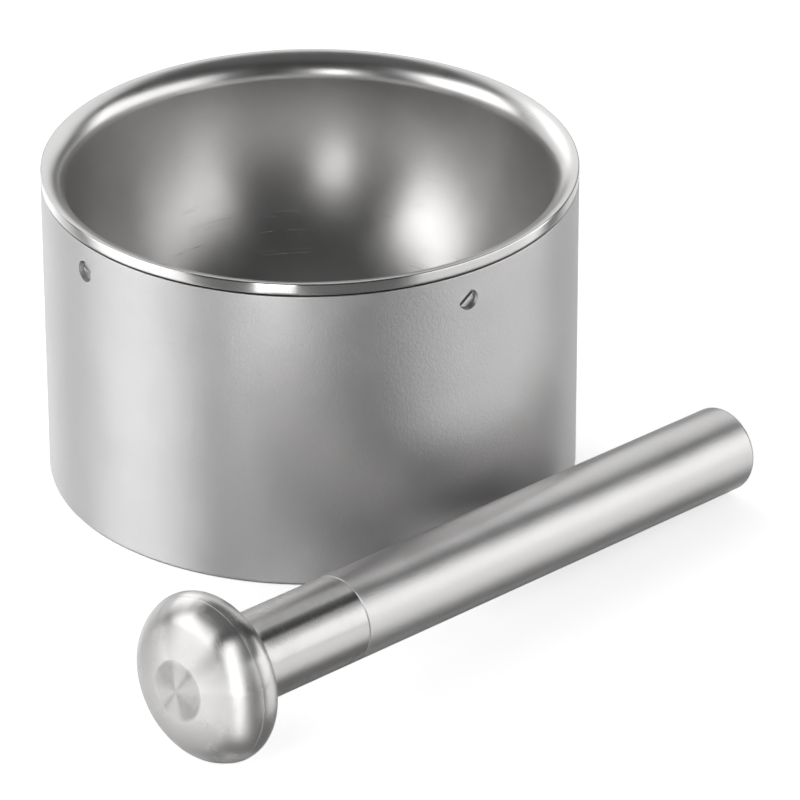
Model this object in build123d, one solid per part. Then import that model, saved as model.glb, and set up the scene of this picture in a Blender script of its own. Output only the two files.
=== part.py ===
from build123d import *
import os
from math import acos, asin, atan2, cos, degrees, hypot, radians, sin, sqrt

# Stainless-steel laboratory mortar and pestle. Millimetres, +Z up.
# The origin is the centre of the mortar's underside, on the surface that it stands on.
# The pestle lies on the same surface in front of the mortar, on its head's rim and its handle's end.

# ---- mortar, driving dimensions ----
mortar_diameter = 100.0
mortar_height = 62.0
sheet = 2.2                  # thickness of the bowl's metal
bowl_bore = 91.2             # inside diameter of the bowl's straight wall
wall_foot_z = 57.2           # height where the bowl starts to curve inwards
side_radius = 44.0           # of the bowl's side in section
bottom_radius = 47.0         # of the grinding surface at the bottom
lip_groove = 0.3             # visible gap between the lip's edge and the jacket
edge_break = 0.2             # chamfer on the flange's turned edge
jacket_wall = 1.9
jacket_foot_radius = 0.8     # rounding of the jacket's bottom edge
seat_gap = 0.05              # between welded or seated faces
over_cut = 1.0               # how far a cut runs past the metal that it goes through
base_thickness = 3.0
support_inside = 16.0        # radii of the ring that carries the bowl's bottom
support_outside = 19.0

# ---- grub screws ----
screw_count = 4
screw_diameter = 4.0
screw_length = 2.6
screw_height = 54.1          # height of the screws' axes
screw_recess = 0.95          # depth of a screw's end below the jacket's outside
screw_chamfer = 0.25
slot_width = 0.7
slot_depth = 0.35
first_screw_angle = -55.4    # about +Z, from -Y towards +X
slot_angles = (-12.0, 38.0, 75.0, -50.0)

# ---- pestle, driving dimensions, along its own axis from the handle's end ----
tube_diameter = 16.2
tube_wall = 1.5
tube_length = 103.2
tube_end_radius = 1.2
pestle_length = 142.9
head_diameter = 31.3
rim_position = 135.2         # where the head is widest
rim_back = 132.3             # where the head's back face meets the rim
rim_back_diameter = 28.4
rim_front = 136.7            # the fine turned line between the rim and the face
rim_front_diameter = 30.5
crown_radius = 32.0          # of the middle of the pestle's face
shoulder_radius = 7.0        # from the face into the rim
turned_line = 0.15           # width and depth of the fine turned lines
spigot_length = 14.0         # of the head inside the handle
plug_thickness = 3.0
press_gap = 0.02

# ---- where the pestle lies ----
handle_end_x = 77.2
handle_end_y = -13.2
pestle_heading = 224.8       # direction from the handle's end to the head, about +Z from +X

mortar_radius = mortar_diameter / 2
bore_radius = bowl_bore / 2
roll_radius = mortar_radius - bore_radius
roll_centre_z = mortar_height - roll_radius
wall_outside = bore_radius + sheet
jacket_bore_radius = mortar_radius - jacket_wall
side_centre = (bore_radius - side_radius, wall_foot_z)
bottom_gap = bottom_radius - side_radius
bottom_centre_z = wall_foot_z + sqrt(bottom_gap ** 2 - side_centre[0] ** 2)


def arc(centre, radius, start, end):
    """A circular arc of a profile, from one angle to another in degrees."""
    return CenterArc(centre, radius, start, end - start)


def lathe(edges):
    """Turn a closed profile, drawn as (radius, height), about the Z axis."""
    outline = Curve() + edges
    return revolve(Plane.XZ * make_face(outline), Axis.Z)


def underside(radius):
    """Height of the rolled lip's underside at a radius, which the jacket sits under."""
    return roll_centre_z + sqrt((roll_radius - sheet) ** 2 - (mortar_radius - radius) ** 2)


def dish_underside(radius):
    """Height of the bowl's outside at a radius, in the part that the support ring carries."""
    return bottom_centre_z - sqrt((bottom_radius + sheet) ** 2 - radius ** 2)


def screw_place(index, radius):
    """The frame of one screw: its X is along the mortar's edge, its Z points outwards."""
    turn = radians(first_screw_angle + 360 / screw_count * index)
    outwards = (sin(turn), -cos(turn), 0)
    sideways = (cos(turn), sin(turn), 0)
    centre = (radius * outwards[0], radius * outwards[1], screw_height)
    return Plane(origin=centre, x_dir=sideways, z_dir=outwards)


def drilled(body, from_radius, to_radius):
    """Cut the four radial screw holes through a body between two radii."""
    for index in range(screw_count):
        depth = to_radius - from_radius
        hole = Cylinder(screw_diameter / 2, depth, align=(Align.CENTER, Align.CENTER, Align.MIN))
        body = body - screw_place(index, from_radius) * hole
    return body


def make_bowl():
    bottom_centre = (0, bottom_centre_z)
    tangent = degrees(atan2(wall_foot_z - bottom_centre_z, side_centre[0]))
    roll_centre = (mortar_radius, roll_centre_z)
    bowl = lathe([
        arc(bottom_centre, bottom_radius, -90, tangent),
        arc(side_centre, side_radius, tangent, 0),
        Polyline((bore_radius, wall_foot_z), (bore_radius, roll_centre_z)),
        arc(roll_centre, roll_radius, 180, 90),
        Polyline((mortar_radius, mortar_height), (mortar_radius, mortar_height - sheet)),
        arc(roll_centre, roll_radius - sheet, 90, 180),
        Polyline((wall_outside, roll_centre_z), (wall_outside, wall_foot_z)),
        arc(side_centre, side_radius + sheet, 0, tangent),
        arc(bottom_centre, bottom_radius + sheet, tangent, -90),
        Polyline((0, dish_underside(0)), (0, dish_underside(0) + sheet)),
    ])
    rim_edges = bowl.edges().filter_by(GeomType.CIRCLE).sort_by(Axis.Z)[-1:]
    bowl = chamfer(rim_edges, edge_break)
    # each screw's point sits in a dimple in the bowl's outside
    point_radius = mortar_radius - screw_recess - screw_length
    return drilled(bowl, point_radius - seat_gap, wall_outside + sheet)


def make_jacket():
    top_inside = underside(jacket_bore_radius) - seat_gap
    top_outside = mortar_height - sheet - lip_groove
    jacket = lathe([
        Polyline(
            (mortar_radius - jacket_foot_radius, 0),
            (jacket_bore_radius, 0),
            (jacket_bore_radius, top_inside),
            (mortar_radius - edge_break, top_outside),
            (mortar_radius, top_outside - edge_break),
            (mortar_radius, jacket_foot_radius),
        ),
        arc((mortar_radius - jacket_foot_radius, jacket_foot_radius), jacket_foot_radius, 0, -90),
    ])
    return drilled(jacket, jacket_bore_radius - over_cut, mortar_radius + over_cut)


def make_support_ring():
    foot = base_thickness + seat_gap
    return lathe([
        Polyline(
            (support_inside, foot),
            (support_outside, foot),
            (support_outside, dish_underside(support_outside) - 2 * seat_gap),
            (support_inside, dish_underside(support_inside) - 2 * seat_gap),
            (support_inside, foot),
        ),
    ])


def make_base_plate():
    radius = jacket_bore_radius - seat_gap
    plate = Cylinder(radius, base_thickness, align=(Align.CENTER, Align.CENTER, Align.MIN))
    upper_edge = plate.edges().filter_by(GeomType.CIRCLE).sort_by(Axis.Z)[-1:]
    return chamfer(upper_edge, edge_break)


def make_grub_screw(index):
    radius = screw_diameter / 2 - press_gap
    screw = Cylinder(radius, screw_length, align=(Align.CENTER, Align.CENTER, Align.MIN))
    end_edges = screw.edges().filter_by(GeomType.CIRCLE)
    screw = chamfer(end_edges, screw_chamfer)
    slot = Box(screw_diameter + over_cut, slot_width, 2 * slot_depth)
    slot = Location((0, 0, screw_length), (0, 0, slot_angles[index])) * slot
    point_radius = mortar_radius - screw_recess - screw_length
    return screw_place(index, point_radius) * (screw - slot)


def make_handle_tube():
    outside = tube_diameter / 2
    inside = outside - tube_wall
    end = tube_end_radius
    return lathe([
        Polyline(
            (outside - end, 0),
            (inside, 0),
            (inside, tube_length),
            (outside - turned_line, tube_length),
            (outside, tube_length - turned_line),
            (outside, end),
        ),
        arc((outside - end, end), end, 0, -90),
    ])


def make_end_plug():
    radius = tube_diameter / 2 - tube_wall - press_gap
    return Cylinder(radius, plug_thickness, align=(Align.CENTER, Align.CENTER, Align.MIN))


def make_pestle_head():
    neck = tube_diameter / 2
    spigot = neck - tube_wall - press_gap
    shoulder_z = tube_length + press_gap
    back = rim_back_diameter / 2
    flare = back - neck
    front = rim_front_diameter / 2
    crown_z = pestle_length - crown_radius
    # the shoulder's centre is inside the crown's circle, and its arc ends at the rim's front
    centre_gap = crown_radius - shoulder_radius
    reach = hypot(front, rim_front - crown_z)
    opening = (centre_gap ** 2 + reach ** 2 - shoulder_radius ** 2) / (2 * centre_gap * reach)
    lean = atan2(rim_front - crown_z, front) + acos(opening)
    shoulder = (centre_gap * cos(lean), crown_z + centre_gap * sin(lean))
    front_angle = degrees(atan2(rim_front - shoulder[1], front - shoulder[0]))
    return lathe([
        Polyline(
            (0, shoulder_z - spigot_length),
            (spigot, shoulder_z - spigot_length),
            (spigot, shoulder_z),
            (neck - turned_line, shoulder_z),
            (neck, shoulder_z + turned_line),
            (neck, rim_back - flare),
        ),
        arc((back, rim_back - flare), flare, 180, 90),
        ThreePointArc(
            (back, rim_back),
            (head_diameter / 2, rim_position),
            (front, rim_front - turned_line),
        ),
        Polyline(
            (front, rim_front - turned_line),
            (front - turned_line, rim_front - turned_line / 2),
            (front, rim_front),
        ),
        arc(shoulder, shoulder_radius, front_angle, degrees(lean)),
        arc((0, crown_z), crown_radius, degrees(lean), 90),
        Polyline((0, pestle_length), (0, shoulder_z - spigot_length)),
    ])


def pestle_place():
    """The frame of the pestle where it lies: its Z runs from the handle's end to the head."""
    rim_round = (rim_front - rim_back) / 2
    run = rim_position - tube_end_radius
    rise = head_diameter / 2 - rim_round - tube_diameter / 2 + tube_end_radius
    lift = rim_round - tube_end_radius
    tilt = atan2(rise, run) + asin(lift / hypot(rise, run))
    heading = radians(pestle_heading)
    axis = (cos(heading) * cos(tilt), sin(heading) * cos(tilt), sin(tilt))
    end_height = (tube_diameter / 2 - tube_end_radius) * cos(tilt)
    end_height = end_height + tube_end_radius * (1 - sin(tilt))
    sideways = (-sin(heading), cos(heading), 0)
    return Plane(origin=(handle_end_x, handle_end_y, end_height), x_dir=sideways, z_dir=axis)


def make_all():
    pestle = pestle_place()
    parts = {
        "bowl": make_bowl(),
        "jacket": make_jacket(),
        "support_ring": make_support_ring(),
        "base_plate": make_base_plate(),
        "handle_tube": pestle * make_handle_tube(),
        "handle_end_plug": pestle * make_end_plug(),
        "pestle_head": pestle * make_pestle_head(),
    }
    for index in range(screw_count):
        parts[f"grub_screw_{index + 1}"] = make_grub_screw(index)
    return parts


os.makedirs("parts", exist_ok=True)
for name, solid in make_all().items():
    export_step(solid, f"parts/{name}.step")
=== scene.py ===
from math import acos, atan2, cos, degrees, hypot, pi, radians, sin, sqrt

import bmesh
import bpy
from mathutils import Matrix, Vector


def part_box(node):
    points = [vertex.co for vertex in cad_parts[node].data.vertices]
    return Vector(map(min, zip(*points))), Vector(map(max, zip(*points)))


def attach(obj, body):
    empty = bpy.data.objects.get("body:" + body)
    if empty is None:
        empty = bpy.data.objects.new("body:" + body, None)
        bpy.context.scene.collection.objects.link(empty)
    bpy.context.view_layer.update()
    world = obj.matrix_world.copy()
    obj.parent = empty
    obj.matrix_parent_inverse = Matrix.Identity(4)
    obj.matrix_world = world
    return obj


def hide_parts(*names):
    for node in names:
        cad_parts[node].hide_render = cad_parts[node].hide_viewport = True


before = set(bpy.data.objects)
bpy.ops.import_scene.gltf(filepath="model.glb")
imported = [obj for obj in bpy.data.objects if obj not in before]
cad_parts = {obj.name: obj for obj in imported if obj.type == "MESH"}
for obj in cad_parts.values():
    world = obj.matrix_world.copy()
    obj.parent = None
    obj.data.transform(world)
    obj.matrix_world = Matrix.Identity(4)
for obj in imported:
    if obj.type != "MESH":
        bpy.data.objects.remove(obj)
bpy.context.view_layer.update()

# A stainless-steel mortar and pestle. Lengths in this file are millimetres unless a name ends in _m,
# and MM turns them into the scene's metres.
MM = 0.001
SCREW_COUNT = 4


def middle(node):
    """The middle of a CAD node's box, in metres."""
    low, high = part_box(node)
    return (low + high) / 2


# ---- sizes taken from the frame ----
jacket_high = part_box("jacket")[1]
bowl_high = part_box("bowl")[1]
screw_middles = [middle(f"grub_screw_{number}") for number in range(1, SCREW_COUNT + 1)]
hole_height = screw_middles[0].z / MM
plug_middle = middle("handle_end_plug")
tube_middle = middle("handle_tube")
mortar_radius = jacket_high.x / MM
mortar_height = bowl_high.z / MM
jacket_top = jacket_high.z / MM

# ---- mortar ----
SHEET = 2.2                 # thickness of the bowl's metal
BORE_RADIUS = 45.6
WALL_FOOT = 57.2            # height where the bowl starts to curve inwards
SIDE_RADIUS = 44.0          # of the bowl's side in section
BOTTOM_RADIUS = 47.0        # of its bottom in section
TOOL_LINE = 41.0            # height of a fine line that the turning tool left
GROUND_HEIGHT = 36.4        # the pestle has scratched the dish below this height
EDGE_ROUND = 0.25           # rounding of the lip's polished edge
EDGE_BREAK = 0.15           # and of its lower corner
JACKET_WALL = 1.9
JACKET_FOOT = 0.8           # rounding of the jacket's bottom edge
JACKET_EDGE = 0.2           # and of its top edge
JACKET_SLOPE = 0.85         # how far the jacket's top falls from the outside to the bore
HOLE_RADIUS = 2.0
HOLE_EDGE = 0.04            # bevel of the holes' rims
HOLE_ROWS = 3.0             # the jacket's rows are finer this far above and below the holes
HOLE_STEPS = 48

# ---- pestle, along its own axis from the handle's end ----
NECK_RADIUS = 8.1
TUBE_WALL = 1.5
TUBE_LENGTH = 103.2
TUBE_END = 1.2
PLUG_THICKNESS = 3.0
PESTLE_LENGTH = 142.9
HEAD_RADIUS = 15.65
RIM_POSITION = 135.2
RIM_BACK = 132.3
RIM_BACK_RADIUS = 14.2
RIM_FRONT = 136.7
RIM_FRONT_RADIUS = 15.25
CROWN_RADIUS = 32.0
SHOULDER_RADIUS = 7.0
SPIGOT_LENGTH = 14.0
TURNED_LINE = 0.15          # width and depth of the fine turned lines
PRESS_GAP = 0.02
PLUG_EDGE = 0.2             # rounding of the end plug's visible edge
RUBBED_RADIUS = 5.5         # the middle of the head's face is rubbed matte

# ---- steps round each turned piece ----
MORTAR_STEPS = 360
HEAD_STEPS = 256
TUBE_STEPS = 192
PLUG_STEPS = 160
SHARP_ANGLE = 32            # an edge sharper than this stays a corner
SAME_POINT = 1e-5
ON_AXIS = 1e-6

# ---- surface detail ----
NOISE_LOW = 0.3             # nearly all of a noise's values lie between these two
NOISE_HIGH = 0.7
ROUND_THE_AXIS = 0.25       # turns the anisotropy so that highlights spread across the tool's marks
WAVE_SIZE = 17.0            # how the jacket's sheet wanders
BLOTCH_SIZE = 9.0
PEEL_RATIO = 3.2            # size of the coarser pits to the finer ones
BLASTED_SPREAD = 0.035      # of the roughness of blasted metal
SATIN_GRAIN = 0.35
SATIN_CLOUD = 6.0
SATIN_MARK = 0.22
SCRATCH_SCALE = 140.0       # of the noise that breaks the scratches up
WORN_EDGE = 0.6             # half the width of the scratched area's soft edge
TOOL_LINE_WIDTH = 0.3
WIPE_SIZE = 5.0             # of the polishing cloth's marks
SPECK_SIZE = 0.5
MILL_SIZE = 0.6
RUBBED_EDGE = 0.3

# ---- camera, in degrees ----
CAMERA_DISTANCE_M = 1.1423
CAMERA_ELEVATION = 28.73
CAMERA_YAW = 0.95
CAMERA_PITCH = 28.21
CAMERA_ROLL = -0.13
LENS_MM = 270.0
SENSOR_MM = 36.0
VIEW_END_M = 50.0

# ---- studio ----
FLOOR_SIDE_M = 12.0
FLOOR_GREY = 0.9            # what the metal sees of the floor
FLOOR_GLOSS = 0.8
FLOOR_SHEEN = 0.3           # roughness that the metal sees
FLOOR_WHITE = 0.93          # what the camera sees of the floor
FLOOR_MATTE = 0.9
FLOOR_LIFT = 0.62           # how much the floor is lit up for the camera
ROOM_LIGHT = 0.05
STRIP_PLACE = (-0.055, -0.234, 0.09)   # a narrow lit card in front, near the table
STRIP_SIZE = (0.06, 0.18)
STRIP_RADIANCE = 4.0
PANEL_EDGE = 4.0            # softness of the panels' edges, in degrees
# each panel: azimuth from -Y towards +X, elevation, half width and half height in degrees; brightness
PANELS = (
    ((-80, 25, 26, 17), 2.7),
    ((-140, 20, 22, 20), 1.0),
    ((80, 17, 36, 17), 1.7),
    ((110, 17, 4, 20), 1.0),
    ((180, 33, 45, 18), 1.2),
    ((0, 80, 180, 14), 0.08),
)


# ------------------------------------------------------------------ meshes

def arc(centre, radius, start, end, steps):
    """Points of a circular arc of a profile, from one angle to another in degrees."""
    points = []
    for step in range(steps + 1):
        angle = radians(start + (end - start) * step / steps)
        points.append((centre[0] + radius * cos(angle), centre[1] + radius * sin(angle)))
    return points


def run(start, end, steps):
    """Evenly spaced points of a straight stretch of a profile."""
    points = []
    for step in range(steps + 1):
        share = step / steps
        points.append((start[0] + (end[0] - start[0]) * share, start[1] + (end[1] - start[1]) * share))
    return points


def joined(*stretches):
    """One profile from its stretches, with the points that they share taken once."""
    profile = []
    for stretch in stretches:
        for point in stretch:
            if not profile or hypot(point[0] - profile[-1][0], point[1] - profile[-1][1]) > SAME_POINT:
                profile.append(point)
    return profile


def lathe_mesh(name, profile, around, closed=False):
    """Turn a profile of (radius, height) about Z: a ring if it is closed, or it ends on the axis."""
    verts = []
    rows = []
    for radius, height in profile:
        if radius < ON_AXIS:
            rows.append([len(verts)])
            verts.append((0, 0, height * MM))
            continue
        row = []
        for step in range(around):
            angle = 2 * pi * step / around
            row.append(len(verts))
            verts.append((radius * MM * cos(angle), radius * MM * sin(angle), height * MM))
        rows.append(row)
    pairs = list(zip(rows[:-1], rows[1:]))
    if closed:
        pairs.append((rows[-1], rows[0]))
    faces = []
    for low, high in pairs:
        for step in range(around):
            after = (step + 1) % around
            if len(low) == 1 and len(high) == 1:
                continue
            if len(low) == 1:
                faces.append((low[0], high[after], high[step]))
            elif len(high) == 1:
                faces.append((low[step], low[after], high[0]))
            else:
                faces.append((low[step], low[after], high[after], high[step]))
    mesh = bpy.data.meshes.new(name)
    mesh.from_pydata(verts, [], faces)
    mesh.update()
    return mesh


def finish_mesh(mesh):
    """Outward normals, smooth shading, and sharp edges where the metal has a real corner."""
    work = bmesh.new()
    work.from_mesh(mesh)
    bmesh.ops.recalc_face_normals(work, faces=work.faces)
    work.to_mesh(mesh)
    work.free()
    for face in mesh.polygons:
        face.use_smooth = True
    mesh.set_sharp_from_angle(angle=radians(SHARP_ANGLE))


def piece(name, mesh, body, materials, replaced):
    """Make an object of a finished mesh, and tell the frame what it is."""
    obj = bpy.data.objects.new(name, mesh)
    bpy.context.scene.collection.objects.link(obj)
    for material in materials:
        mesh.materials.append(material)
    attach(obj, body)
    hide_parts(*replaced)
    return obj


# ------------------------------------------------------------------ material nodes

def node(tree, kind, inputs=None, **settings):
    """Add a shader node; an input is a number, a colour or another node's output."""
    made = tree.nodes.new(kind)
    for key, value in settings.items():
        setattr(made, key, value)
    for key, value in (inputs or {}).items():
        socket = made.inputs[key]
        if isinstance(value, bpy.types.NodeSocket):
            tree.links.new(value, socket)
        else:
            socket.default_value = value
    return made


def calc(tree, operation, first, second=0.0):
    """One step of arithmetic on numbers or outputs."""
    return node(tree, "ShaderNodeMath", {0: first, 1: second}, operation=operation).outputs[0]


def remap(tree, value, from_low, from_high, to_low, to_high):
    """Stretch one range of a value over another, and hold it at the ends."""
    inputs = {"Value": value, "From Min": from_low, "From Max": from_high,
              "To Min": to_low, "To Max": to_high}
    return node(tree, "ShaderNodeMapRange", inputs).outputs[0]


def noise(tree, vector, size, detail=2.0, roughness=0.5):
    """Soft noise whose lumps are about a size in millimetres."""
    inputs = {"Vector": vector, "Scale": 1 / (size * MM), "Detail": detail, "Roughness": roughness}
    return node(tree, "ShaderNodeTexNoise", inputs).outputs[0]


def own_place(tree, turned_frame):
    """The place on a piece in the frame of the axis that it was turned about."""
    place = node(tree, "ShaderNodeTexCoord").outputs["Object"]
    inputs = {"Vector": place, "Location": turned_frame.to_translation(),
              "Rotation": turned_frame.to_euler()}
    return node(tree, "ShaderNodeMapping", inputs, vector_type="TEXTURE").outputs[0]


def round_the_axis(tree, turned_frame):
    """The direction that runs round the turning axis at each place, which the tool's marks follow."""
    place = node(tree, "ShaderNodeTexCoord").outputs["Object"]
    centre = turned_frame.to_translation()
    axis = turned_frame.col[2].to_3d()
    away = node(tree, "ShaderNodeVectorMath", {0: place, 1: centre}, operation="SUBTRACT").outputs[0]
    return node(tree, "ShaderNodeVectorMath", {0: axis, 1: away}, operation="CROSS_PRODUCT").outputs[0]


def turned_place(tree, place):
    """(radius, 0, height): a coordinate that is the same all the way round, as a tool's marks are."""
    parts = node(tree, "ShaderNodeSeparateXYZ", {0: place})
    across = calc(tree, "MULTIPLY", parts.outputs[0], parts.outputs[0])
    along = calc(tree, "MULTIPLY", parts.outputs[1], parts.outputs[1])
    radius = calc(tree, "SQRT", calc(tree, "ADD", across, along))
    turned = node(tree, "ShaderNodeCombineXYZ", {0: radius, 2: parts.outputs[2]})
    return turned.outputs[0], radius, parts.outputs[2]


def bump(tree, height, strength, distance, normal=None):
    """Tilt the surface by a height from 0 to 1, of a distance in millimetres."""
    inputs = {"Height": height, "Strength": strength, "Distance": distance * MM}
    if normal is not None:
        inputs["Normal"] = normal
    return node(tree, "ShaderNodeBump", inputs).outputs[0]


def steel_material(name, colour, turned_frame, anisotropy=0.0):
    """A bare metal with its constant values set; the caller links roughness, colour and normal."""
    material = bpy.data.materials.new(name)
    material.use_nodes = True
    tree = material.node_tree
    shader = tree.nodes["Principled BSDF"]
    shader.inputs["Base Color"].default_value = (*colour, 1)
    shader.inputs["Metallic"].default_value = 1.0
    if anisotropy:
        shader.inputs["Anisotropic"].default_value = anisotropy
        shader.inputs["Anisotropic Rotation"].default_value = ROUND_THE_AXIS
        tree.links.new(round_the_axis(tree, turned_frame), shader.inputs["Tangent"])
    return material, tree, shader, own_place(tree, turned_frame)


def tinted(tree, low, high, share):
    """A colour between two greys."""
    inputs = {0: share, 6: (*low, 1), 7: (*high, 1)}
    return node(tree, "ShaderNodeMix", inputs, data_type="RGBA").outputs[2]


def blasted_steel(name, turned_frame, colour, roughness, grain):
    """Bead-blasted metal: a fine pitted grain on a sheet that is a little uneven."""
    material, tree, shader, place = steel_material(name, colour, turned_frame)
    pits = noise(tree, place, grain, detail=3.0, roughness=0.6)
    peel = noise(tree, place, grain * PEEL_RATIO, detail=2.0, roughness=0.5)
    waves = noise(tree, place, WAVE_SIZE, detail=1.0, roughness=0.4)
    blotches = noise(tree, place, BLOTCH_SIZE, detail=4.0, roughness=0.6)
    normal = bump(tree, waves, strength=1.0, distance=0.35)
    normal = bump(tree, peel, strength=0.35, distance=0.045, normal=normal)
    normal = bump(tree, pits, strength=0.8, distance=0.05, normal=normal)
    tree.links.new(normal, shader.inputs["Normal"])
    spread = calc(tree, "ADD", calc(tree, "MULTIPLY", blotches, 0.5), calc(tree, "MULTIPLY", pits, 0.5))
    smoothest = roughness - BLASTED_SPREAD
    roughest = roughness + BLASTED_SPREAD
    rough = remap(tree, spread, NOISE_LOW, NOISE_HIGH, smoothest, roughest)
    tree.links.new(rough, shader.inputs["Roughness"])
    dark = tuple(channel * 0.94 for channel in colour)
    light = tuple(min(1.0, channel * 1.05) for channel in colour)
    tree.links.new(tinted(tree, dark, light, spread), shader.inputs["Base Color"])
    return material


def satin_steel(name):
    """The inside of the bowl: a satin side, and a ground bottom with concentric scratches."""
    colour = (0.60, 0.592, 0.585)
    material, tree, shader, place = steel_material(name, colour, MORTAR, anisotropy=0.3)
    turned, _, height = turned_place(tree, place)
    grain = noise(tree, place, SATIN_GRAIN, detail=3.0, roughness=0.65)
    cloud = noise(tree, place, SATIN_CLOUD, detail=4.0, roughness=0.6)
    marks = noise(tree, turned, SATIN_MARK, detail=3.0, roughness=0.7)
    # scratches are turned marks that are broken up, and only where the pestle has worked
    worn_low = (GROUND_HEIGHT - WORN_EDGE) * MM
    worn_high = (GROUND_HEIGHT + WORN_EDGE) * MM
    worn = remap(tree, height, worn_low, worn_high, 1.0, 0.0)
    inputs = {"Vector": place, "Scale": SCRATCH_SCALE, "Detail": 3.0}
    broken = node(tree, "ShaderNodeTexNoise", inputs).outputs[0]
    broken = remap(tree, broken, 0.5, 0.62, 0.0, 1.0)
    scratch = remap(tree, marks, 0.6, 0.68, 0.0, 1.0)
    scratch = calc(tree, "MULTIPLY", calc(tree, "MULTIPLY", scratch, broken), worn)
    fine = calc(tree, "ADD", calc(tree, "MULTIPLY", marks, remap(tree, worn, 0, 1, 0.25, 0.8)),
                calc(tree, "MULTIPLY", grain, 0.5))
    tool_line = calc(tree, "ABSOLUTE", calc(tree, "SUBTRACT", height, TOOL_LINE * MM))
    tool_line = remap(tree, tool_line, 0.0, TOOL_LINE_WIDTH * MM, 1.0, 0.0)
    normal = bump(tree, fine, strength=0.35, distance=0.02)
    normal = bump(tree, scratch, strength=0.6, distance=0.03, normal=normal)
    normal = bump(tree, tool_line, strength=0.15, distance=0.03, normal=normal)
    tree.links.new(normal, shader.inputs["Normal"])
    rough = remap(tree, calc(tree, "ADD", grain, cloud), 0.6, 1.4, 0.3, 0.37)
    rough = calc(tree, "SUBTRACT", rough, calc(tree, "MULTIPLY", scratch, 0.08))
    tree.links.new(rough, shader.inputs["Roughness"])
    tree.links.new(tinted(tree, (0.56, 0.553, 0.547), (0.645, 0.637, 0.63), cloud),
                   shader.inputs["Base Color"])
    return material


def turned_steel(name, turned_frame, colour, roughness, anisotropy, mark, depth, rubbed_radius=0.0):
    """Metal off the lathe: fine marks round the axis, wiped over, and rubbed matte within a radius."""
    material, tree, shader, place = steel_material(name, colour, turned_frame, anisotropy)
    turned, radius, _ = turned_place(tree, place)
    marks = noise(tree, turned, mark, detail=4.0, roughness=0.75)
    wipes = noise(tree, place, WIPE_SIZE, detail=4.0, roughness=0.6)
    specks = noise(tree, place, SPECK_SIZE, detail=2.0, roughness=0.6)
    normal = bump(tree, marks, strength=0.4, distance=depth)
    normal = bump(tree, specks, strength=0.12, distance=0.01, normal=normal)
    tree.links.new(normal, shader.inputs["Normal"])
    share = calc(tree, "ADD", calc(tree, "MULTIPLY", wipes, 0.6), calc(tree, "MULTIPLY", marks, 0.4))
    rough = remap(tree, share, NOISE_LOW, NOISE_HIGH, roughness - 0.04, roughness + 0.05)
    if rubbed_radius:
        rubbed_in = (rubbed_radius - RUBBED_EDGE) * MM
        rubbed_out = (rubbed_radius + RUBBED_EDGE) * MM
        rubbed = remap(tree, radius, rubbed_in, rubbed_out, 0.2, 0.0)
        rough = calc(tree, "ADD", rough, rubbed)
    tree.links.new(rough, shader.inputs["Roughness"])
    dark = tuple(channel * 0.93 for channel in colour)
    tree.links.new(tinted(tree, dark, colour, share), shader.inputs["Base Color"])
    return material


def plain_steel(name):
    """Sheet as it comes from the mill, for the parts that are hidden inside."""
    material, tree, shader, place = steel_material(name, (0.5, 0.5, 0.5), MORTAR)
    mill = noise(tree, place, MILL_SIZE, detail=4.0, roughness=0.7)
    tree.links.new(bump(tree, mill, strength=0.25, distance=0.03), shader.inputs["Normal"])
    tree.links.new(remap(tree, mill, NOISE_LOW, NOISE_HIGH, 0.32, 0.5), shader.inputs["Roughness"])
    tree.links.new(tinted(tree, (0.46, 0.46, 0.46), (0.56, 0.56, 0.56), mill), shader.inputs["Base Color"])
    return material


def pestle_frame():
    """The pestle's own frame: its Z runs from the handle's end to the head."""
    axis = (tube_middle - plug_middle).normalized()
    end = plug_middle - axis * PLUG_THICKNESS * MM / 2
    sideways = Vector((0, 0, 1)).cross(axis).normalized()
    upwards = axis.cross(sideways)
    placed = Matrix((sideways, upwards, axis)).transposed().to_4x4()
    placed.translation = end
    return placed


MORTAR = Matrix.Identity(4)
PESTLE = pestle_frame()

SATIN = satin_steel("satin_steel")
LIP = turned_steel("satin_lip", MORTAR, (0.64, 0.635, 0.63),
                   roughness=0.3, anisotropy=0.2, mark=0.2, depth=0.002)
BAND = turned_steel("polished_edge", MORTAR, (0.66, 0.655, 0.65),
                    roughness=0.17, anisotropy=0.9, mark=0.09, depth=0.002)
JACKET = blasted_steel("blasted_steel", MORTAR, (0.66, 0.653, 0.653), roughness=0.46, grain=0.42)
HANDLE = blasted_steel("handle_steel", PESTLE, (0.58, 0.573, 0.57), roughness=0.36, grain=0.36)
HEAD = turned_steel("polished_steel", PESTLE, (0.57, 0.563, 0.557),
                    roughness=0.25, anisotropy=1.0, mark=0.12, depth=0.004, rubbed_radius=RUBBED_RADIUS)
PLAIN = plain_steel("plain_steel")
SCREW = turned_steel("screw_steel", MORTAR, (0.6, 0.6, 0.6),
                     roughness=0.3, anisotropy=0.3, mark=0.2, depth=0.01)


# ------------------------------------------------------------------ mortar

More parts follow.
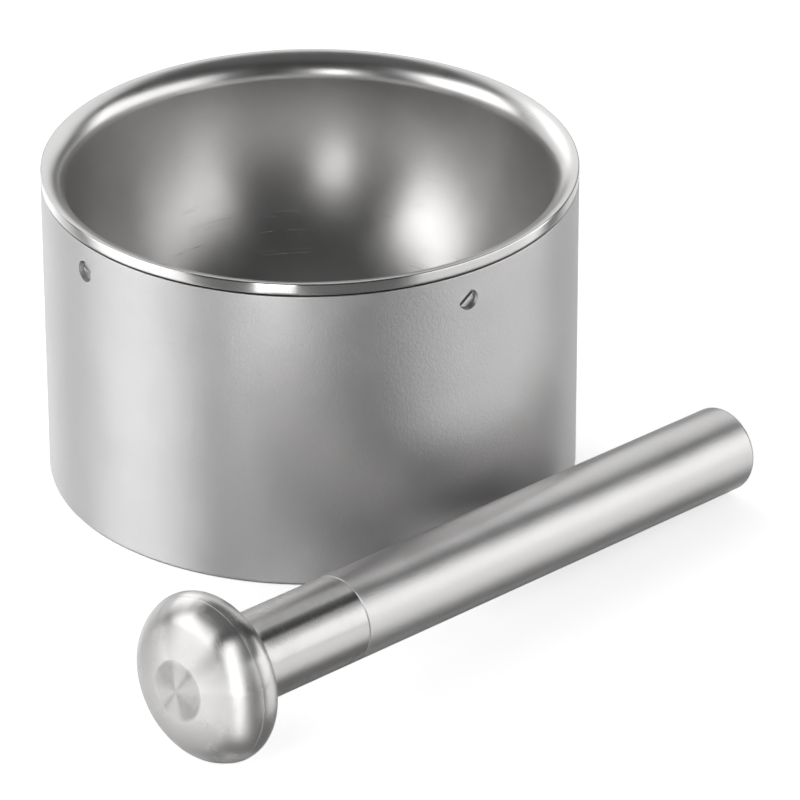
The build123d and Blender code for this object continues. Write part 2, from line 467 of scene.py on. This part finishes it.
def make_bowl():
    """The formed bowl as one closed body: ground bottom, round side, rolled lip and turned edge."""
    roll = mortar_radius - BORE_RADIUS
    roll_centre = (mortar_radius, mortar_height - roll)
    side_centre = (BORE_RADIUS - SIDE_RADIUS, WALL_FOOT)
    gap = BOTTOM_RADIUS - SIDE_RADIUS
    bottom_centre = (0, WALL_FOOT + sqrt(gap ** 2 - side_centre[0] ** 2))
    tangent = degrees(atan2(WALL_FOOT - bottom_centre[1], side_centre[0]))
    roll_end = 90 + degrees(EDGE_ROUND / roll)
    band_low = mortar_height - SHEET
    edge_centre = (mortar_radius - EDGE_ROUND, mortar_height - EDGE_ROUND)
    inside = joined(
        arc(bottom_centre, BOTTOM_RADIUS, -90, tangent, 24),
        arc(side_centre, SIDE_RADIUS, tangent, 0, 60),
        run((BORE_RADIUS, WALL_FOOT), (BORE_RADIUS, roll_centre[1]), 10),
        arc(roll_centre, roll, 180, roll_end, 28),
    )
    edge = joined(
        arc(edge_centre, EDGE_ROUND, 88, 0, 5),
        run((mortar_radius, mortar_height - EDGE_ROUND), (mortar_radius, band_low + EDGE_BREAK), 5),
        [(mortar_radius - 0.05, band_low + 0.04), (mortar_radius - EDGE_BREAK, band_low)],
    )
    underneath = joined(
        arc(roll_centre, roll - SHEET, 92, 180, 14),
        run((BORE_RADIUS + SHEET, roll_centre[1]), (BORE_RADIUS + SHEET, WALL_FOOT), 6),
        arc(side_centre, SIDE_RADIUS + SHEET, 0, tangent, 30),
        arc(bottom_centre, BOTTOM_RADIUS + SHEET, tangent, -90, 16),
    )
    profile = joined(inside, edge, underneath)
    profile[0] = (0, profile[0][1])
    profile[-1] = (0, profile[-1][1])
    mesh = lathe_mesh("bowl_shell", profile, MORTAR_STEPS)
    finish_mesh(mesh)
    # the slots are the inside, the edge band, the underneath, and the lip above its roll's centre
    bowl = piece("bowl_shell", mesh, "mortar", [SATIN, BAND, PLAIN, LIP], ["bowl"])
    for face in mesh.polygons:
        out = hypot(face.center.x, face.center.y) / MM
        outward = face.normal.x * face.center.x + face.normal.y * face.center.y
        if out > mortar_radius - EDGE_ROUND * 0.5:
            face.material_index = 1
        elif face.normal.z < -0.2 or outward > 0:
            face.material_index = 2
        elif face.center.z > roll_centre[1] * MM:
            face.material_index = 3
    return bowl


def hole_frame(screw_middle):
    """The frame of a screw's radial hole at the jacket's outside: Z points outwards."""
    outwards = Vector((screw_middle.x, screw_middle.y, 0)).normalized()
    upwards = Vector((0, 0, 1))
    placed = Matrix((upwards.cross(outwards), upwards, outwards)).transposed().to_4x4()
    placed.translation = outwards * mortar_radius * MM + upwards * screw_middle.z
    return placed


def make_jacket():
    """The blasted cylinder with its rounded foot, bevelled top and four tapped holes."""
    bore = mortar_radius - JACKET_WALL
    foot_centre = (mortar_radius - JACKET_FOOT, JACKET_FOOT)
    low = hole_height - HOLE_ROWS
    high = hole_height + HOLE_ROWS
    edge_centre = (mortar_radius - JACKET_EDGE, jacket_top - JACKET_EDGE)
    profile = joined(
        [(bore, jacket_top - JACKET_SLOPE), (bore, 4.0), (bore, 0.0)],
        arc(foot_centre, JACKET_FOOT, -90, 0, 8),
        run((mortar_radius, JACKET_FOOT), (mortar_radius, low), 24),
        run((mortar_radius, low), (mortar_radius, high), 14),
        run((mortar_radius, high), (mortar_radius, jacket_top - JACKET_EDGE), 3),
        arc(edge_centre, JACKET_EDGE, 0, 90, 4),
    )
    blank = lathe_mesh("jacket_blank", profile, MORTAR_STEPS, closed=True)
    shell = bpy.data.objects.new("jacket_blank", blank)
    finish_mesh(shell.data)
    bpy.context.scene.collection.objects.link(shell)
    drill = bmesh.new()
    for screw_middle in screw_middles:
        bmesh.ops.create_cone(drill, cap_ends=True, segments=HOLE_STEPS, radius1=HOLE_RADIUS * MM,
                              radius2=HOLE_RADIUS * MM, depth=4 * JACKET_WALL * MM,
                              matrix=hole_frame(screw_middle))
    drill_mesh = bpy.data.meshes.new("drill")
    drill.to_mesh(drill_mesh)
    drill.free()
    cutter = bpy.data.objects.new("drill", drill_mesh)
    bpy.context.scene.collection.objects.link(cutter)
    cut = shell.modifiers.new("holes", "BOOLEAN")
    cut.object = cutter
    cut.operation = "DIFFERENCE"
    cut.solver = "EXACT"
    graph = bpy.context.evaluated_depsgraph_get()
    mesh = bpy.data.meshes.new_from_object(shell.evaluated_get(graph))
    bpy.data.objects.remove(shell)
    bpy.data.objects.remove(cutter)
    bevel_hole_rims(mesh)
    finish_mesh(mesh)
    set_round_normals(mesh)
    return piece("jacket_shell", mesh, "mortar", [JACKET], ["jacket"])


def bevel_hole_rims(mesh):
    """Break the sharp rims of the holes on the outside."""
    work = bmesh.new()
    work.from_mesh(mesh)
    rims = []
    for edge in work.edges:
        centre = (edge.verts[0].co + edge.verts[1].co) / 2
        outside = hypot(centre.x, centre.y) > (mortar_radius - 0.1) * MM
        near = abs(centre.z - hole_height * MM) < (HOLE_RADIUS + 0.1) * MM
        if outside and near and len(edge.link_faces) == 2 and edge.calc_face_angle() > radians(45):
            rims.append(edge)
    bmesh.ops.bevel(work, geom=rims, offset=HOLE_EDGE * MM, segments=2, profile=0.6, affect="EDGES")
    work.to_mesh(mesh)
    work.free()


def set_round_normals(mesh):
    """Give the outside of the cylinder exactly radial normals, so that no facet shows round the holes."""
    normals = [corner.vector.copy() for corner in mesh.corner_normals]
    for face in mesh.polygons:
        centre = face.center
        out = Vector((centre.x, centre.y, 0)).normalized()
        if face.normal.dot(out) < 0.999 or hypot(centre.x, centre.y) < (mortar_radius - 0.02) * MM:
            continue
        for loop in face.loop_indices:
            spot = mesh.vertices[mesh.loops[loop].vertex_index].co
            normals[loop] = Vector((spot.x, spot.y, 0)).normalized()
    mesh.normals_split_custom_set(normals)


make_bowl()
make_jacket()
for name in ("base_plate", "support_ring"):
    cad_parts[name].data.materials.clear()
    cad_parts[name].data.materials.append(PLAIN)
for number in range(1, SCREW_COUNT + 1):
    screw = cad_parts[f"grub_screw_{number}"]
    screw.data.materials.clear()
    screw.data.materials.append(SCREW)


# ------------------------------------------------------------------ pestle

def make_head():
    """The turned head and neck as one closed body, with its spigot in the handle."""
    back_radius = RIM_BACK_RADIUS
    flare = back_radius - NECK_RADIUS
    crown_centre = (0, PESTLE_LENGTH - CROWN_RADIUS)
    gap = CROWN_RADIUS - SHOULDER_RADIUS
    reach = hypot(RIM_FRONT_RADIUS, RIM_FRONT - crown_centre[1])
    opening = (gap ** 2 + reach ** 2 - SHOULDER_RADIUS ** 2) / (2 * gap * reach)
    lean = atan2(RIM_FRONT - crown_centre[1], RIM_FRONT_RADIUS) + acos(opening)
    shoulder_centre = (gap * cos(lean), crown_centre[1] + gap * sin(lean))
    front_angle = degrees(atan2(RIM_FRONT - shoulder_centre[1], RIM_FRONT_RADIUS - shoulder_centre[0]))
    spigot = NECK_RADIUS - TUBE_WALL - PRESS_GAP
    seam = TUBE_LENGTH + PRESS_GAP
    rim_start = (back_radius, RIM_BACK)
    rim_end = (RIM_FRONT_RADIUS, RIM_FRONT - TURNED_LINE)
    centre, radius = circle_through(rim_start, (HEAD_RADIUS, RIM_POSITION), rim_end)
    rim_from = degrees(atan2(rim_start[1] - centre[1], rim_start[0] - centre[0]))
    rim_to = degrees(atan2(rim_end[1] - centre[1], rim_end[0] - centre[0]))
    profile = joined(
        [(0, seam - SPIGOT_LENGTH), (spigot, seam - SPIGOT_LENGTH), (spigot, seam)],
        [(NECK_RADIUS - TURNED_LINE, seam), (NECK_RADIUS, seam + TURNED_LINE)],
        run((NECK_RADIUS, seam + TURNED_LINE), (NECK_RADIUS, RIM_BACK - flare), 20),
        arc((back_radius, RIM_BACK - flare), flare, 180, 90, 20),
        arc(centre, radius, rim_from, rim_to, 18),
        [(RIM_FRONT_RADIUS - TURNED_LINE, RIM_FRONT - TURNED_LINE / 2), (RIM_FRONT_RADIUS, RIM_FRONT)],
        arc(shoulder_centre, SHOULDER_RADIUS, front_angle, degrees(lean), 22),
        arc(crown_centre, CROWN_RADIUS, degrees(lean), 90, 26),
    )
    profile[-1] = (0, profile[-1][1])
    mesh = lathe_mesh("pestle_head_turned", profile, HEAD_STEPS)
    finish_mesh(mesh)
    mesh.transform(PESTLE)
    return piece("pestle_head_turned", mesh, "pestle", [HEAD], ["pestle_head"])


def circle_through(first, second, third):
    """Centre and radius of the circle through three points."""
    ax, ay = first
    bx, by = second
    cx, cy = third
    twice = 2 * (ax * (by - cy) + bx * (cy - ay) + cx * (ay - by))
    a_square = ax * ax + ay * ay
    b_square = bx * bx + by * by
    c_square = cx * cx + cy * cy
    x = (a_square * (by - cy) + b_square * (cy - ay) + c_square * (ay - by)) / twice
    y = (a_square * (cx - bx) + b_square * (ax - cx) + c_square * (bx - ax)) / twice
    return (x, y), hypot(ax - x, ay - y)


def make_tube():
    """The handle's tube with its rounded end."""
    inside = NECK_RADIUS - TUBE_WALL
    profile = joined(
        [(inside, TUBE_LENGTH), (inside, TURNED_LINE), (inside + TURNED_LINE, 0)],
        [(NECK_RADIUS - TUBE_END, 0)],
        arc((NECK_RADIUS - TUBE_END, TUBE_END), TUBE_END, -90, 0, 12),
        run((NECK_RADIUS, TUBE_END), (NECK_RADIUS, TUBE_LENGTH - TURNED_LINE), 60),
        [(NECK_RADIUS - TURNED_LINE, TUBE_LENGTH)],
    )
    mesh = lathe_mesh("handle_tube_shell", profile, TUBE_STEPS, closed=True)
    finish_mesh(mesh)
    mesh.transform(PESTLE)
    return piece("handle_tube_shell", mesh, "pestle", [HANDLE], ["handle_tube"])


def make_plug():
    """The disc that closes the handle's far end."""
    radius = NECK_RADIUS - TUBE_WALL - PRESS_GAP
    profile = joined(
        [(0, PLUG_THICKNESS), (radius, PLUG_THICKNESS)],
        [(radius, PLUG_EDGE), (radius - 0.06, 0.06), (radius - PLUG_EDGE, 0)],
        run((radius - PLUG_EDGE, 0), (0, 0), 12),
    )
    mesh = lathe_mesh("handle_end_disc", profile, PLUG_STEPS)
    finish_mesh(mesh)
    mesh.transform(PESTLE)
    return piece("handle_end_disc", mesh, "pestle", [HANDLE], ["handle_end_plug"])


make_head()
make_tube()
make_plug()


# ------------------------------------------------------------------ floor, light and camera

def make_floor():
    """A white glazed table. The camera sees it lit to white, and the metal sees its sheen."""
    mesh = bpy.data.meshes.new("floor")
    side = FLOOR_SIDE_M
    corners = [(-side, -side, 0), (side, -side, 0), (side, side, 0), (-side, side, 0)]
    mesh.from_pydata(corners, [], [(0, 1, 2, 3)])
    floor = bpy.data.objects.new("floor", mesh)
    bpy.context.scene.collection.objects.link(floor)
    material = bpy.data.materials.new("floor_paper")
    material.use_nodes = True
    tree = material.node_tree
    shader = tree.nodes["Principled BSDF"]
    seen = node(tree, "ShaderNodeLightPath").outputs["Is Camera Ray"]
    paper = noise(tree, node(tree, "ShaderNodeTexCoord").outputs["Object"], 1.5, detail=3.0)
    grey = tinted(tree, (FLOOR_GREY,) * 3, (FLOOR_GREY + 0.02,) * 3, paper)
    inputs = {0: seen, 6: grey, 7: (FLOOR_WHITE, FLOOR_WHITE, FLOOR_WHITE, 1)}
    colour = node(tree, "ShaderNodeMix", inputs, data_type="RGBA")
    tree.links.new(colour.outputs[2], shader.inputs["Base Color"])
    unseen = calc(tree, "SUBTRACT", 1.0, seen)
    tree.links.new(calc(tree, "MULTIPLY", unseen, FLOOR_GLOSS), shader.inputs["Metallic"])
    tree.links.new(remap(tree, seen, 0.0, 1.0, FLOOR_SHEEN, FLOOR_MATTE), shader.inputs["Roughness"])
    shader.inputs["Specular IOR Level"].default_value = 0.1
    shader.inputs["Emission Color"].default_value = (1, 1, 1, 1)
    tree.links.new(calc(tree, "MULTIPLY", seen, FLOOR_LIFT), shader.inputs["Emission Strength"])
    mesh.materials.append(material)
    return floor


def make_camera():
    """The camera in front of the mortar, a little above it and turned a little to the right."""
    elevation = radians(CAMERA_ELEVATION)
    yaw = radians(CAMERA_YAW)
    pitch = radians(CAMERA_PITCH)
    roll = radians(CAMERA_ROLL)
    spot = Vector((0, -cos(elevation), sin(elevation))) * CAMERA_DISTANCE_M
    ahead = Vector((sin(yaw) * cos(pitch), cos(yaw) * cos(pitch), -sin(pitch)))
    right = Vector((cos(yaw), -sin(yaw), 0))
    above = right.cross(ahead)
    rolled_right = right * cos(roll) + above * sin(roll)
    rolled_above = above * cos(roll) - right * sin(roll)
    turned = Matrix((rolled_right, rolled_above, -ahead)).transposed().to_4x4()
    turned.translation = spot
    lens = bpy.data.cameras.new("camera")
    lens.lens = LENS_MM
    lens.sensor_width = SENSOR_MM
    lens.clip_end = VIEW_END_M
    camera = bpy.data.objects.new("camera", lens)
    camera.matrix_world = turned
    bpy.context.scene.collection.objects.link(camera)
    bpy.context.scene.camera = camera


def panel(tree, azimuth, height, place):
    """How much of a direction falls on one soft-edged light panel of the studio, from 0 to 1."""
    across, up, half_width, half_height = (radians(value) for value in place)
    soft = radians(PANEL_EDGE)
    turned = node(tree, "ShaderNodeMath", {0: calc(tree, "SUBTRACT", azimuth, across), 1: pi, 2: -pi},
                  operation="WRAP").outputs[0]
    sides = []
    for offset, half in ((turned, half_width), (calc(tree, "SUBTRACT", height, up), half_height)):
        away = calc(tree, "ABSOLUTE", offset)
        inputs = {"Value": away, "From Min": half - soft, "From Max": half + soft,
                  "To Min": 1.0, "To Max": 0.0}
        sides.append(node(tree, "ShaderNodeMapRange", inputs, interpolation_type="SMOOTHSTEP").outputs[0])
    return calc(tree, "MULTIPLY", sides[0], sides[1])


def make_world():
    """A white studio: soft panels round the table, which the metal sees and the camera doesn't."""
    world = bpy.data.worlds.new("studio")
    bpy.context.scene.world = world
    world.use_nodes = True
    tree = world.node_tree
    towards = node(tree, "ShaderNodeTexCoord").outputs["Generated"]
    direction = node(tree, "ShaderNodeSeparateXYZ", {0: towards})
    backwards = calc(tree, "MULTIPLY", direction.outputs[1], -1.0)
    azimuth = calc(tree, "ARCTAN2", direction.outputs[0], backwards)
    height = calc(tree, "ARCSINE", direction.outputs[2])
    light = None
    for place, brightness in PANELS:
        share = calc(tree, "MULTIPLY", panel(tree, azimuth, height, place), brightness)
        light = share if light is None else calc(tree, "ADD", light, share)
    light = calc(tree, "ADD", light, ROOM_LIGHT)
    seen = node(tree, "ShaderNodeLightPath").outputs["Is Camera Ray"]
    strength = node(tree, "ShaderNodeMix", {0: seen, 2: light, 3: 1.0}).outputs[0]
    background = tree.nodes["Background"]
    background.inputs["Color"].default_value = (1, 1, 1, 1)
    tree.links.new(strength, background.inputs["Strength"])


def make_strip():
    """The lit card that gives the lip and the bowl their narrow highlight."""
    light = bpy.data.lights.new("strip", "AREA")
    light.shape = "RECTANGLE"
    light.size, light.size_y = STRIP_SIZE
    light.energy = STRIP_RADIANCE * pi * STRIP_SIZE[0] * STRIP_SIZE[1]
    card = bpy.data.objects.new("strip", light)
    place = Vector(STRIP_PLACE)
    back = Vector((place.x, place.y, 0)).normalized()
    above = Vector((0, 0, 1))
    turned = Matrix((above.cross(back), above, back)).transposed().to_4x4()
    turned.translation = place
    card.matrix_world = turned
    card.visible_camera = False
    bpy.context.scene.collection.objects.link(card)


make_floor()
make_camera()
make_strip()
make_world()
bpy.context.scene.view_settings.view_transform = "Standard"
